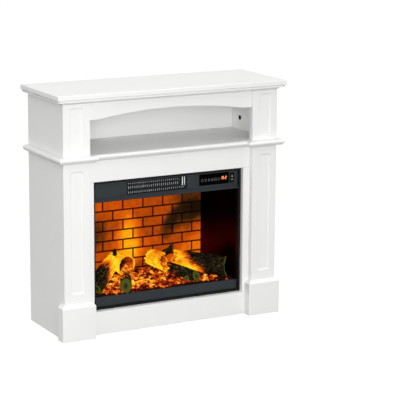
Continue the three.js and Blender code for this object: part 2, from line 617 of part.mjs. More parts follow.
function flameSpindle() {
  const parts = [];
  for (let i = 0; i < SPINDLE.fins; i++) {
    const fin = new THREE.BoxGeometry(14, SPINDLE.finR * 2, 0.8);
    fin.rotateX(i * 2.4).translate(-SPINDLE.half + 18 + i * 20.6, 0, 0);
    parts.push(fin);
  }
  return join(bar([-SPINDLE.half, 0, 0], [SPINDLE.half, 0, 0], SPINDLE.r, SPINDLE.r, 12), ...parts);
}
node(insert, 'flame_spindle', flameSpindle(), ALUMINIUM).position.set(0, SPINDLE.y, SPINDLE.z);

function spindleBush() {
  const x = -SPINDLE.half + 4;
  const arm = block(x - 3, x + 3, SPINDLE.y - 9, SPINDLE.y + 9, CASE_BOTTOM + SHEET_T + GAP, SPINDLE.z + 9);
  return cut(arm, bar([x - 9, SPINDLE.y, SPINDLE.z], [x + 9, SPINDLE.y, SPINDLE.z],
    SPINDLE.r + GAP, SPINDLE.r + GAP, 12));
}
node(insert, 'spindle_bush', spindleBush(), BLACK_PLASTIC);

function spindleMotor() {
  const x = SPINDLE.half + GAP;
  const body = bar([x, SPINDLE.y, SPINDLE.z], [x + 22, SPINDLE.y, SPINDLE.z], 18, 18, 24);
  const foot = block(x + 4, x + 10, SPINDLE.y - 14, SPINDLE.y + 14, CASE_BOTTOM + SHEET_T + GAP, SPINDLE.z);
  return join(body, foot);
}
node(insert, 'spindle_motor', spindleMotor(), ZINC);

// ---------------------------------------------------------------- insert: fan heater
const duct = { x0: OUTLET.x0 + 2, x1: OUTLET.x1 - 2, y0: FASCIA_SETBACK + 6, y1: 112, z0: 356.5, z1: 401 };

function heaterDuct() {
  const shell = block(duct.x0, duct.x1, duct.y0, duct.y1, duct.z0, duct.z1);
  const hollow = block(duct.x0 + SHEET_T, duct.x1 - SHEET_T, duct.y0 - 1, duct.y1 + 1,
    duct.z0 + SHEET_T, duct.z1 - SHEET_T);
  const shaftHole = bar([duct.x1 - 5, BLOWER.y, BLOWER.z], [duct.x1 + 5, BLOWER.y, BLOWER.z], 5, 5, 12);
  return cut(shell, hollow, shaftHole);
}
node(insert, 'heater_duct', heaterDuct(), ZINC);

// A finned block of heating stones in an aluminium frame close behind the grille. Its thin end
// plate stands clear of the fins at the right.
function heatingElement() {
  const y0 = FASCIA_SETBACK + 3 + SHEET_T + 1;
  const y1 = y0 + 14;
  const z0 = duct.z0 + SHEET_T + 1.5;
  const z1 = duct.z1 - SHEET_T - 1.5;
  const rail = 2.5;
  const frame = block(duct.x0 + 3.5, duct.x1 - SHEET_T - GAP, y0, y1, z0, z1);
  const [clear] = END_OPENINGS;
  const openings = [
    block(clear.x0 - 1, END_PLATE_X, y0 - 1, y1 + 1, clear.z0 - 1, z1 - rail),
    block(clear.x0 - 1, OUTLET.x1, y0 + 1.5, y1 + 1, z0 + rail, z1 - rail),
  ];
  for (let i = 0; i < SLOTS.columns - 1; i++) {
    const x = SLOTS.first + i * SLOTS.pitch + SLOTS.width + 1.4;
    openings.push(block(x, x + 2.8, y0 - 1, y1 + 1, z0 + rail, z1 - rail));
  }
  return cut(frame, ...openings);
}
node(insert, 'heating_element', heatingElement(), ALUMINIUM);

function blowerWheel() {
  const length = BLOWER.x1 - BLOWER.x0;
  const half = length / 2;
  const parts = [-1, 0, 1].map((end) => {
    const x = end * (half - 1);
    return bar([x - 1, 0, 0], [x + 1, 0, 0], BLOWER.r, BLOWER.r, 24);
  });
  for (let i = 0; i < BLOWER.blades; i++) {
    const blade = new THREE.BoxGeometry(length - 1, 5, 0.8);
    blade.rotateX(0.6).translate(0, 0, BLOWER.r - 3);
    blade.rotateX((i / BLOWER.blades) * Math.PI * 2);
    parts.push(blade);
  }
  const shaft = bar([half - 2, 0, 0], [half + 36, 0, 0], 2.5, 2.5, 12);
  return join(shaft, ...parts);
}
node(insert, 'blower_wheel', blowerWheel(), ALUMINIUM)
  .position.set((BLOWER.x0 + BLOWER.x1) / 2, BLOWER.y, BLOWER.z);

function blowerMotor() {
  const x = BLOWER.x1 + 36 + GAP;
  const body = bar([x, BLOWER.y, BLOWER.z], [x + 30, BLOWER.y, BLOWER.z], 19, 19, 24);
  const foot = block(x + 6, x + 24, BLOWER.y - 12, BLOWER.y + 12, CEILING_Z + SHEET_T + GAP, BLOWER.z);
  return join(body, foot);
}
node(insert, 'blower_motor', blowerMotor(), ZINC);

node(insert, 'thermal_cutout', bar([-60, 62, duct.z1 - SHEET_T - 6], [-60, 62, duct.z1 - SHEET_T - GAP], 6, 6, 16),
  CERAMIC);
node(insert, 'control_board', block(WINDOW.x0, 224, FASCIA_SETBACK + 6, FASCIA_SETBACK + 7.6,
  WINDOW.z0, WINDOW.z1 + 4), CIRCUIT);

// ---------------------------------------------------------------- the whole object
const fireplace = new THREE.Group();
fireplace.add(mantel, insert);

export default fireplace;
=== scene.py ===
import json
import math
import random

import bmesh
import bpy
from mathutils import Matrix, Vector, noise


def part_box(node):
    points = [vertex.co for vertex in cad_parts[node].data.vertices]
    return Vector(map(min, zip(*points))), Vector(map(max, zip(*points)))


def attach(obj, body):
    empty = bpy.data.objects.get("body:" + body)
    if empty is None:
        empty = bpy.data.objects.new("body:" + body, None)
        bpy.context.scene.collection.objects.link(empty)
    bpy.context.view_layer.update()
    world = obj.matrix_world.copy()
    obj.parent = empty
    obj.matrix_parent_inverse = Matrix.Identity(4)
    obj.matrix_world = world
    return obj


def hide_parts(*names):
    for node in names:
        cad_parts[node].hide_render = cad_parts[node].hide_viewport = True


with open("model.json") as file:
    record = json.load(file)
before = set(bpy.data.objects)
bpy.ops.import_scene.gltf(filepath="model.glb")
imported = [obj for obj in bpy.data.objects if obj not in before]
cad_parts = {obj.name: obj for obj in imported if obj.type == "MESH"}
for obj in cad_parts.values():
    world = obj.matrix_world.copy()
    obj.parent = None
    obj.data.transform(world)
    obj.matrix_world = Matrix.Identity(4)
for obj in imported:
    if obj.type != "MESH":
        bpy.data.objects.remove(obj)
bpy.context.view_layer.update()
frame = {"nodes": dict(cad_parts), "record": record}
NODES = frame["nodes"]

MM = 0.001
TRIM_LOW, TRIM_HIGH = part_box("front_trim")
# Lower middle of the insert's front edge: the insert's own pieces are placed from here, in millimetres.
INSERT = Vector(((TRIM_LOW.x + TRIM_HIGH.x) / 2, TRIM_LOW.y, TRIM_LOW.z))


def at(x, y, z):
    """The place of a point given in mm from INSERT."""
    return INSERT + Vector((x, y, z)) * MM


def from_insert(place):
    """A place's x, y and z in mm from INSERT."""
    return tuple((value - origin) / MM for value, origin in zip(place, INSERT))


def smoothstep(value, low, high):
    share = min(1.0, max(0.0, (value - low) / (high - low)))
    return share * share * (3 - 2 * share)


# ---------------------------------------------------------------- node materials
class Look:
    """A material being made: one Principled shader, and calls that add the nodes that feed it."""

    def __init__(self, name, colour, roughness, metallic=0.0, shine=0.5):
        self.material = bpy.data.materials.new(name)
        self.material.use_nodes = True
        self.tree = self.material.node_tree
        self.shader = next(n for n in self.tree.nodes if n.type == "BSDF_PRINCIPLED")
        self.set("Base Color", (*colour, 1.0))
        self.set("Roughness", roughness)
        self.set("Metallic", metallic)
        self.set("Specular IOR Level", shine)
        self.place = self.tree.nodes.new("ShaderNodeTexCoord").outputs["Object"]
        self.relief = None

    def feed(self, socket, value):
        if isinstance(value, bpy.types.NodeSocket):
            self.tree.links.new(value, socket)
        else:
            socket.default_value = value

    def set(self, name, value):
        self.feed(self.shader.inputs[name], value)

    def node(self, kind, inputs, **settings):
        made = self.tree.nodes.new("ShaderNode" + kind)
        for key, value in settings.items():
            setattr(made, key, value)
        for key, value in inputs.items():
            self.feed(made.inputs[key], value)
        return made

    def calc(self, operation, first, second=0.0):
        return self.node("Math", {0: first, 1: second}, operation=operation).outputs[0]

    def ranged(self, value, low, high, to_low=0.0, to_high=1.0):
        inputs = {"Value": value, "From Min": low, "From Max": high, "To Min": to_low, "To Max": to_high}
        return self.node("MapRange", inputs, interpolation_type="SMOOTHSTEP").outputs["Result"]

    def stretched(self, scale):
        return self.node("Mapping", {"Vector": self.place, "Scale": scale}).outputs["Vector"]

    def noise(self, scale, detail=2.0, roughness=0.5, place=None):
        inputs = {"Vector": self.place if place is None else place, "Scale": scale, "Detail": detail,
                  "Roughness": roughness}
        return self.node("TexNoise", inputs).outputs["Fac"]

    def cells(self, scale, feature="F1"):
        inputs = {"Vector": self.place, "Scale": scale}
        return self.node("TexVoronoi", inputs, feature=feature).outputs["Distance"]

    def attribute(self, name):
        return self.node("Attribute", {}, attribute_name=name).outputs["Fac"]

    def ramp(self, value, stops):
        """A colour ramp over value, with stops of a position and a colour."""
        made = self.node("ValToRGB", {"Fac": value})
        elements = made.color_ramp.elements
        elements.remove(elements[1])
        for index, (position, colour) in enumerate(stops):
            element = elements[0] if index == 0 else elements.new(position)
            element.position = position
            element.color = (*colour, 1.0)
        return made.outputs["Color"]

    def mixed(self, factor, first, second, mode="MIX"):
        made = self.node("Mix", {}, data_type="RGBA", blend_type=mode)
        for index, value in ((0, factor), (6, first), (7, second)):
            is_colour = isinstance(value, tuple) and len(value) == 3
            self.feed(made.inputs[index], (*value, 1.0) if is_colour else value)
        return made.outputs[2]

    def bump(self, height, distance, strength):
        """Adds fine relief on top of the relief added before."""
        inputs = {"Height": height, "Distance": distance, "Strength": strength}
        if self.relief is not None:
            inputs["Normal"] = self.relief
        self.relief = self.node("Bump", inputs).outputs["Normal"]
        self.set("Normal", self.relief)

    def roughen(self, low, high, scale, detail):
        """A roughness that drifts between low and high over the surface."""
        self.set("Roughness", self.ranged(self.noise(scale, detail), 0.3, 0.7, low, high))

    def glow(self, colour, strength):
        self.set("Emission Color", colour)
        self.set("Emission Strength", strength)


def tinted(look, colour, spread, scale):
    """A base colour that drifts by the share spread over the surface."""
    dark = tuple(c * (1 - spread) for c in colour)
    light = tuple(min(1.0, c * (1 + spread)) for c in colour)
    look.set("Base Color", look.ramp(look.noise(scale, 3.0), [(0.3, dark), (0.7, light)]))


def white_lacquer():
    look = Look("white_lacquer", (0.9, 0.9, 0.885), 0.4)
    tinted(look, (0.9, 0.9, 0.887), 0.012, 5.0)
    look.roughen(0.33, 0.43, 22.0, 4.0)
    look.bump(look.noise(420.0, 2.0), 0.00005, 0.35)
    look.bump(look.noise(9.0, 1.0), 0.0006, 0.12)
    return look.material


def raw_board():
    look = Look("raw_board", (0.72, 0.7, 0.65), 0.6)
    flecks = look.cells(420.0)
    look.set("Base Color", look.ramp(flecks, [(0.1, (0.62, 0.58, 0.5)), (0.5, (0.76, 0.74, 0.69))]))
    look.bump(flecks, 0.0001, 0.4)
    look.roughen(0.5, 0.68, 60.0, 3.0)
    return look.material


def powder_coat(name, colour, roughness, shine):
    look = Look(name, colour, roughness, shine=shine)
    tinted(look, colour, 0.1, 30.0)
    look.bump(look.noise(1500.0, 2.0, 0.6), 0.00008, 0.5)
    look.roughen(roughness - 0.05, roughness + 0.06, 45.0, 4.0)
    return look.material


def moulded_plastic():
    colour = (0.004, 0.004, 0.0045)
    look = Look("black_plastic", colour, 0.42, shine=0.14)
    tinted(look, colour, 0.15, 60.0)
    look.bump(look.cells(2600.0), 0.00004, 0.4)
    look.roughen(0.36, 0.5, 80.0, 3.0)
    return look.material


def touch_panel():
    look = Look("gloss_black", (0.001, 0.001, 0.0012), 0.1, shine=0.008)
    smears = [(0.2, (0.0003, 0.0004, 0.0005)), (0.8, (0.0008, 0.001, 0.0012))]
    look.set("Base Color", look.ramp(look.noise(20.0), smears))
    look.set("Roughness", look.ranged(look.noise(38.0, 5.0, 0.7), 0.45, 0.8, 0.08, 0.2))
    return look.material


def brushed_metal(name, colour, roughness, scratches):
    """Fine parallel scratches, along the axes that scratches gives a small factor."""
    look = Look(name, colour, roughness, metallic=1.0)
    lines = look.noise(900.0, 3.0, 0.6, look.stretched(scratches))
    look.set("Roughness", look.ranged(lines, 0.3, 0.7, roughness - 0.08, roughness + 0.1))
    look.bump(lines, 0.00003, 0.4)
    tinted(look, colour, 0.06, 25.0)
    return look.material


def liner_painted_glow():
    """Dark enamel that mirrors the fire softly and dims it. Its colour holds a painted red glow of the
    fire, reddest 150 mm up, and painted shade that darkens it towards the top.
    """
    look = Look("liner_black", (0.05, 0.0035, 0.0015), 0.26, metallic=1.0)
    height = look.node("SeparateXYZ", {0: look.place}).outputs["Z"]
    low, glow_peak_z, top = (at(0, 0, z).z for z in (60, 150, 270))
    drift = look.calc("MULTIPLY", look.noise(9.0), 0.04)
    share = look.ranged(look.calc("ADD", height, drift), low, top + 0.02)
    middle = (glow_peak_z - low) / (top - low)
    # Painted light: the fire's red glow, strongest 150 mm up, fading to painted shade at the top.
    look.set("Base Color", look.ramp(share, [
        (0.0, (0.02, 0.0015, 0.0008)),
        (middle, (0.06, 0.004, 0.0016)),
        (1.0, (0.0035, 0.0006, 0.0004)),
    ]))
    look.roughen(0.2, 0.32, 12.0, 3.0)
    look.bump(look.noise(60.0, 2.0), 0.0002, 0.3)
    return look.material


def circuit_board():
    look = Look("circuit_board", (0.02, 0.12, 0.045), 0.35)
    tracks = look.cells(160.0, "DISTANCE_TO_EDGE")
    look.set("Base Color", look.ramp(tracks, [(0.0, (0.05, 0.24, 0.09)), (0.08, (0.018, 0.11, 0.04))]))
    look.bump(tracks, 0.00005, 0.5)
    return look.material


def ceramic():
    colour = (0.7, 0.66, 0.55)
    look = Look("ceramic", colour, 0.6)
    tinted(look, colour, 0.06, 120.0)
    look.bump(look.noise(700.0, 3.0), 0.00006, 0.5)
    return look.material


# Colours of the lit screen, from dark to hottest.
FIRE = [
    (0.0, (0.004, 0.0012, 0.0004)),
    (0.2, (0.024, 0.0085, 0.0012)),
    (0.4, (0.2, 0.034, 0.0014)),
    (0.6, (0.58, 0.074, 0.0012)),
    (0.8, (0.95, 0.215, 0.0018)),
    (1.0, (1.0, 0.52, 0.005)),
]


def flame_glow(look, flames):
    """Sums soft elliptical tongues of light on the screen. Each is a centre and half sizes in mm, a
    lean in degrees, and a weight, which is negative where the screen gets less light."""
    upwards = look.stretched((1.0, 1.0, 0.45))
    swirl = look.node("TexNoise", {"Vector": upwards, "Scale": 17.0, "Detail": 2.0})
    middle = (0.5, 0.5, 0.5)
    drift = look.node("VectorMath", {0: swirl.outputs["Color"], 1: middle}, operation="SUBTRACT")
    reach = look.node("VectorMath", {0: drift.outputs[0], "Scale": 0.055}, operation="SCALE")
    bent = look.node("VectorMath", {0: look.place, 1: reach.outputs[0]}, operation="ADD").outputs[0]
    total = None
    for x, z, half_x, half_z, lean, weight in flames:
        centre = at(x, 0, z)
        fit = {"Vector": bent, "Location": (centre.x, 0.0, centre.z),
               "Rotation": (0.0, math.radians(-lean), 0.0), "Scale": (half_x * MM, 1000.0, half_z * MM)}
        local = look.node("Mapping", fit, vector_type="TEXTURE")
        far = look.node("VectorMath", {0: local.outputs[0]}, operation="LENGTH").outputs["Value"]
        tongue = look.calc("MULTIPLY", look.ranged(far, 0.25, 1.0, 1.0, 0.0), weight)
        total = tongue if total is None else look.calc("ADD", total, tongue)
    return total


def brick_print():
    look = Look("brick_screen", (0.014, 0.005, 0.0014), 0.8, shine=0.03)
    flames = [
        (-66, 174, 68, 112, 0, 0.36),
        (-60, 130, 110, 66, 0, 0.06),
        (-92, 290, 130, 60, 6, 0.08),
        (165, 112, 165, 70, 32, 0.17),
        (200, 300, 150, 96, 14, -0.26),
        (156, 238, 108, 56, 16, -0.34),
        (80, 212, 74, 34, 66, -0.26),
        (-196, 200, 66, 70, 0, -0.24),
        (-20, 58, 280, 52, 0, -0.1),
    ]
    backlight = 0.54
    light = look.calc("ADD", flame_glow(look, flames), backlight)
    mottle = look.noise(70.0, 4.0, 0.6)
    light = look.calc("ADD", light, look.ranged(mottle, 0.25, 0.75, -0.05, 0.05))
    own_tone = look.ranged(look.attribute("tone"), 0.0, 1.0, -0.035, 0.035)
    light = look.calc("ADD", light, own_tone)
    face = look.ramp(light, FIRE)
    joint = look.mixed(1.0, face, (0.09, 0.045, 0.06), "MULTIPLY")
    raised = look.ranged(look.attribute("relief"), 0.25, 0.85)
    look.glow(look.mixed(raised, joint, face), 1.0)
    look.set("Base Color", look.mixed(raised, (0.005, 0.002, 0.001), (0.014, 0.005, 0.0014)))
    look.bump(look.noise(260.0, 4.0, 0.6), 0.0004, 0.5)
    return look.material


def ember_look():
    look = Look("embers", (0.008, 0.0025, 0.001), 0.85, shine=0.05)
    heat = look.attribute("warmth")
    glimmer = look.ranged(look.noise(85.0, 4.0, 0.65), 0.3, 0.72, -0.3, 0.3)
    veins = look.ranged(look.cells(150.0, "DISTANCE_TO_EDGE"), 0.0, 0.35, 0.16, -0.1)
    light = look.calc("ADD", look.calc("ADD", heat, glimmer), veins)
    look.glow(look.ramp(light, [
        (0.0, (0.004, 0.001, 0.001)),
        (0.22, (0.06, 0.004, 0.001)),
        (0.42, (0.4, 0.022, 0.003)),
        (0.62, (0.86, 0.1, 0.006)),
        (0.82, (1.0, 0.34, 0.01)),
        (1.0, (1.0, 0.68, 0.05)),
    ]), 1.0)
    look.bump(look.noise(500.0, 4.0, 0.7), 0.0005, 0.6)
    return look.material


def bark_look():
    """Painted resin bark. The attribute glow says how strongly a place is lit from inside, together with
    painted light on the log's underside and front. The attribute ridge says how high the bark stands."""
    look = Look("bark", (0.02, 0.015, 0.01), 0.7, shine=0.05)
    ridge = look.attribute("ridge")
    along = look.node("Attribute", {}, attribute_name="grain").outputs["Vector"]
    fibre = look.noise(210.0, 4.0, 0.62, along)
    moss = look.ranged(look.noise(60.0, 3.0, 0.6), 0.42, 0.66)
    height = look.calc("ADD", look.calc("MULTIPLY", ridge, 0.55), look.calc("MULTIPLY", fibre, 0.6))
    bark = look.ramp(height, [
        (0.2, (0.001, 0.0006, 0.0003)),
        (0.56, (0.005, 0.003, 0.0012)),
        (0.7, (0.028, 0.018, 0.0045)),
        (0.84, (0.12, 0.09, 0.022)),
    ])
    look.set("Base Color", look.mixed(moss, bark, look.mixed(0.25, bark, (0.01, 0.01, 0.0015))))
    lit = look.attribute("glow")
    flicker = look.ranged(look.noise(34.0, 2.0, 0.5), 0.3, 0.7, -0.22, 0.12)
    light = look.calc("ADD", lit, flicker)
    # Painted shade in the bark's cracks: low places glow less, and ridges glow more.
    light = look.calc("ADD", light, look.ranged(height, 0.35, 0.95, -0.2, 0.1))
    look.glow(look.ramp(light, [
        (0.12, (0.0, 0.0, 0.0)),
        (0.3, (0.1, 0.009, 0.001)),
        (0.48, (0.55, 0.07, 0.002)),
        (0.66, (0.95, 0.26, 0.003)),
        (0.86, (1.0, 0.52, 0.004)),
        (1.0, (1.0, 0.78, 0.03)),
    ]), 1.0)
    look.bump(fibre, 0.0012, 0.8)
    look.bump(look.noise(700.0, 4.0, 0.7), 0.0003, 0.6)
    return look.material


def cut_wood():
    """Sawn end of a log: growth rings by distance from its middle, held in the attribute ring. It glows
    faintly, as if lit through the wood."""
    look = Look("cut_wood", (0.05, 0.06, 0.01), 0.7, shine=0.1)
    ring = look.attribute("ring")
    unevenness = look.calc("MULTIPLY", look.noise(120.0), 5.0)
    phase = look.calc("ADD", look.calc("MULTIPLY", ring, 42.0), unevenness)
    bands = look.ranged(look.calc("SINE", phase), -1.0, 1.0)
    wood = look.mixed(bands, (0.016, 0.019, 0.003), (0.05, 0.056, 0.009))
    look.set("Base Color", look.mixed(look.ranged(ring, 0.1, 0.55), (0.02, 0.018, 0.008), wood))
    outer = look.ranged(ring, 0.2, 0.6)
    look.glow(look.mixed(outer, (0.003, 0.003, 0.0), (0.04, 0.047, 0.003)), 1.0)
    look.bump(bands, 0.0003, 0.5)
    return look.material


def lit_symbol(name, colour, strength):
    look = Look(name, (0.02, 0.02, 0.02), 0.4)
    dim = tuple(c * 0.8 for c in colour)
    look.glow(look.ramp(look.noise(900.0), [(0.35, dim), (0.65, colour)]), strength)
    return look.material


SLOT_LOOKS = {
    "white_lacquer": white_lacquer(),
    "raw_board": raw_board(),
    "black_steel": powder_coat("black_steel", (0.004, 0.004, 0.0045), 0.4, shine=0.16),
    "slate_steel": powder_coat("slate_steel", (0.022, 0.028, 0.032), 0.46, shine=0.2),
    "black_plastic": moulded_plastic(),
    "gloss_black": touch_panel(),
    "zinc_steel": brushed_metal("zinc_steel", (0.55, 0.56, 0.57), 0.36, (0.05, 1.0, 1.0)),
    "aluminium": brushed_metal("aluminium", (0.86, 0.87, 0.88), 0.3, (1.0, 1.0, 0.04)),
    "circuit_board": circuit_board(),
    "ceramic": ceramic(),
}


# ---------------------------------------------------------------- CAD nodes that are shown as they are
LINER_STEEL = liner_painted_glow()
# Nodes whose look isn't their slot's.
NODE_LOOKS = {
    "liner_left": LINER_STEEL,
    "liner_right": LINER_STEEL,
    "firebox_ceiling": LINER_STEEL,
    "outlet_grille": powder_coat("grille_steel", (0.007, 0.009, 0.01), 0.45, shine=0.15),
}
# Widths in mm of the rolled edges, by material slot, and by node where a node has its own.
SLOT_EDGES = {
    "white_lacquer": 1.1,
    "raw_board": 0.5,
    "slate_steel": 0.5,
    "black_steel": 0.35,
    "black_plastic": 0.4,
    "gloss_black": 0.35,
    "zinc_steel": 0.25,
    "aluminium": 0.12,
    "ceramic": 0.4,
    "circuit_board": 0.2,
}
NODE_EDGES = {
    "mid_shelf": 1.6,
    "mantel_top": 0.8,
    "heater_duct": 0.3,
    "heating_element": 0.2,
    "outlet_grille": 0.2,
    "rear_cover": 0.3,
}
for side in ("left", "right"):
    NODE_EDGES[f"fixing_bracket_{side}"] = 0.4
    NODE_EDGES[f"upper_pilaster_{side}"] = 0.5
    NODE_EDGES[f"lower_pilaster_{side}"] = 0.5


def smooth_group():
    """A modifier group that shades every face smoothly."""
    group = bpy.data.node_groups.new("shade_smooth", "GeometryNodeTree")
    for way in ("INPUT", "OUTPUT"):
        group.interface.new_socket("Geometry", in_out=way, socket_type="NodeSocketGeometry")
    start = group.nodes.new("NodeGroupInput")
    shade = group.nodes.new("GeometryNodeSetShadeSmooth")
    end = group.nodes.new("NodeGroupOutput")
    group.links.new(start.outputs[0], shade.inputs[0])
    group.links.new(shade.outputs[0], end.inputs[0])
    return group


SMOOTH = smooth_group()


FLAT_WITHIN = math.radians(0.6)
SHARP_BEYOND = math.radians(32)


def soften(target, width):
    """Rolls a node's sharp edges over by width in mm."""
    weld = target.modifiers.new("weld", "WELD")
    weld.merge_threshold = 0.01 * MM
    planar = target.modifiers.new("planar", "DECIMATE")
    planar.decimate_type = "DISSOLVE"
    planar.angle_limit = FLAT_WITHIN
    bevel = target.modifiers.new("bevel", "BEVEL")
    bevel.width = width * MM
    bevel.segments = 3
    bevel.limit_method = "ANGLE"
    bevel.angle_limit = SHARP_BEYOND
    target.modifiers.new("smooth", "NODES").node_group = SMOOTH
    normals = target.modifiers.new("normals", "WEIGHTED_NORMAL")
    normals.keep_sharp = False


def finish_cad_nodes():
    """Gives a look and rolled edges to every node but those that a piece replaces."""
    for part in frame["record"]["subparts"]:
        node, slot = part["node"], part["material_slot"]
        if slot not in SLOT_LOOKS:
            continue
        target = NODES[node]
        look = NODE_LOOKS.get(node, SLOT_LOOKS[slot])
        if not target.material_slots:
            target.data.materials.append(look)
        for entry in target.material_slots:
            entry.material = look
        soften(target, NODE_EDGES.get(node, SLOT_EDGES[slot]))


# ---------------------------------------------------------------- pieces
def piece(name, bm, looks, body, replaced=(), smooth=True):
    """Makes an object of a bmesh, parents it to its body's empty, and hides the nodes it replaces."""
    mesh = bpy.data.meshes.new(name)
    bmesh.ops.recalc_face_normals(bm, faces=bm.faces)
    bm.to_mesh(mesh)
    bm.free()
    for look in looks:
        mesh.materials.append(look)
    mesh.shade_smooth() if smooth else mesh.shade_flat()
    made = bpy.data.objects.new(name, mesh)
    bpy.context.scene.collection.objects.link(made)
    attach(made, body)
    if replaced:
        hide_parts(*replaced)
    return made


def face_band(bm, first, second, material=0):
    """Faces between two closed rings of equal count."""
    for j, vert in enumerate(first):
        k = (j + 1) % len(first)
        face = bm.faces.new((vert, first[k], second[k], second[j]))
        face.material_index = material


def close_grid(bm, grid, opposite):
    """Faces a grid of vertices, and closes it with a flat side. The call opposite gives the place on
    that side across from a place on the grid's rim."""
    rim = grid[0] + [row[-1] for row in grid[1:]] + grid[-1][-2::-1] + [row[0] for row in grid[-2:0:-1]]
    for lower, upper in zip(grid, grid[1:]):
        for a, b, c, d in zip(lower, lower[1:], upper[1:], upper):
            bm.faces.new((a, b, c, d))
    far = [bm.verts.new(opposite(v.co)) for v in rim]
    face_band(bm, rim, far)
    bm.faces.new(far)


# ---------------------------------------------------------------- brickwork
BRICK_W = 72.2
BRICK_H = 32.9
JOINT_HALF = 2.4
JOINT_DEPTH = 1.7
BOND_Z = 144.3          # a level joint of the brickwork, in mm above the insert's lower edge
BOND_X = -13.5          # an upright joint in the course above BOND_Z, and in every second one from it


def course_lines(low, high, pitch, offset, insets):
    """Positions from low to high, at insets in mm from every joint's middle."""
    first = math.floor((low - offset) / pitch) - 1
    last = math.ceil((high - offset) / pitch) + 1
    lines = {low, high}
    for k in range(first, last + 1):
        lines.update(offset + k * pitch + inset for inset in insets)
    return sorted(v for v in lines if low <= v <= high)


def joint_distance(x, z):
    """Distance in mm to the nearest joint's middle, and the brick's course and column."""
    course = math.floor((z - BOND_Z) / BRICK_H)
    across = (z - BOND_Z) - course * BRICK_H
    shift = BOND_X + (BRICK_W / 2 if course % 2 else 0.0)
    column = math.floor((x - shift) / BRICK_W)
    beside = (x - shift) - column * BRICK_W
    return min(across, BRICK_H - across, beside, BRICK_W - beside), (course, column)


def brick_screen():
    """The screen's brickwork as one closed sheet: bricks stand proud of sunk joints."""
    (x0, y0, z0), (x1, y1, z1) = (from_insert(corner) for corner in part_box("flame_screen"))
    by_joint = [JOINT_HALF * share for share in (-1.9, -1.35, -1.0, -0.7, 0.0, 0.7, 1.0, 1.35, 1.9)]
    along_brick = [6.5, 11.5, 17.0, 22.5, 28.0]
    up_brick = [6.0, 10.5, 15.0, 19.0, 23.0, 27.0]
    xs = course_lines(x0, x1, BRICK_W / 2, BOND_X, by_joint + along_brick)
    zs = course_lines(z0, z1, BRICK_H, BOND_Z, by_joint + up_brick)
    clear = 0.35
    bm = bmesh.new()
    relief = bm.verts.layers.float.new("relief")
    tone = bm.verts.layers.float.new("tone")
    front = []
    for z in zs:
        row = []
        for x in xs:
            near, brick = joint_distance(x, z)
            up = smoothstep(near, JOINT_HALF * 0.75, JOINT_HALF * 1.45)
            rough = noise.noise(Vector((x, z, 3.0)) * 0.16) * 0.22
            rough += noise.noise(Vector((x, z, 9.0)) * 0.5) * 0.12
            swell = noise.noise(Vector((brick[0] * 3.7, brick[1] * 5.3, 0.5))) * 0.25
            y = y0 + clear + JOINT_DEPTH * (1 - up) + (rough + swell) * up * 0.8
            vert = bm.verts.new(at(x, y, z))
            vert[relief] = up
            vert[tone] = noise.cell(Vector((brick[0] * 1.7 + 0.3, brick[1] * 2.3 + 0.3, 7.7)))
            row.append(vert)
        front.append(row)
    back_y = INSERT.y + y1 * MM
    close_grid(bm, front, lambda place: (place.x, back_y, place.z))
    piece("brick_sheet", bm, [brick_print()], "surround", ["flame_screen"])


# ---------------------------------------------------------------- logs
LINER_LOW, LINER_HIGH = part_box("liner_right")
BED_LOW, BED_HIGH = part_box("ember_bed")


def inside_firebox(point):
    """Moves a point that lies beyond a liner, or too far forward, back inside."""
    share = (point.y - LINER_LOW.y) / (LINER_HIGH.y - LINER_LOW.y)
    clear, forward = 1.6 * MM, 8.0 * MM
    half = LINER_HIGH.x + (LINER_LOW.x - LINER_HIGH.x) * min(1.0, max(0.0, share)) - clear
    return Vector((max(-half, min(half, point.x)), max(point.y, LINER_LOW.y - forward), point.z))


def half_width(y):
    """Half the firebox's width in mm, less the clearance, y mm behind INSERT."""
    beyond = 400
    return (inside_firebox(at(beyond, y, 0)).x - INSERT.x) / MM


RING_STEP = 2.0             # mm from one ring of a log to the next
SAW_SHIFT = 0.3             # share of a slanting saw cut's reach that moves the whole cut along the log
SAW_FADE = 2.4              # the slant dies out over this many radii
TORN_REACH = 22.0           # mm of a log that a torn end jags
TORN_DEPTH = 13.0           # mm that a jag of 1 moves it
ROUND_REACH = 7.0           # mm of a log that a round end narrows


def bark_ridge(flat, radius, along, shift):
    """Height of the bark from 0 to about 1: long ridges with cracks between them."""
    q = Vector((flat.x * radius * 0.2, flat.y * radius * 0.2, along * 0.028)) + shift
    q.x += 0.6 * noise.noise(q * 0.9)
    ridge = 1.0 - abs(noise.noise(q * 1.5)) * 2.6
    return 0.62 * max(0.0, ridge) + 0.38 * (0.5 + noise.noise(q * 4.2))


def end_jag(flat, seed):
    """How far a torn end stands out at a place around the log."""
    coarse = noise.noise(Vector((flat.x * 2.6, flat.y * 2.6, seed + 4.0)))
    return coarse + 0.5 * noise.noise(Vector((flat.x * 6.0, flat.y * 6.0, seed)))


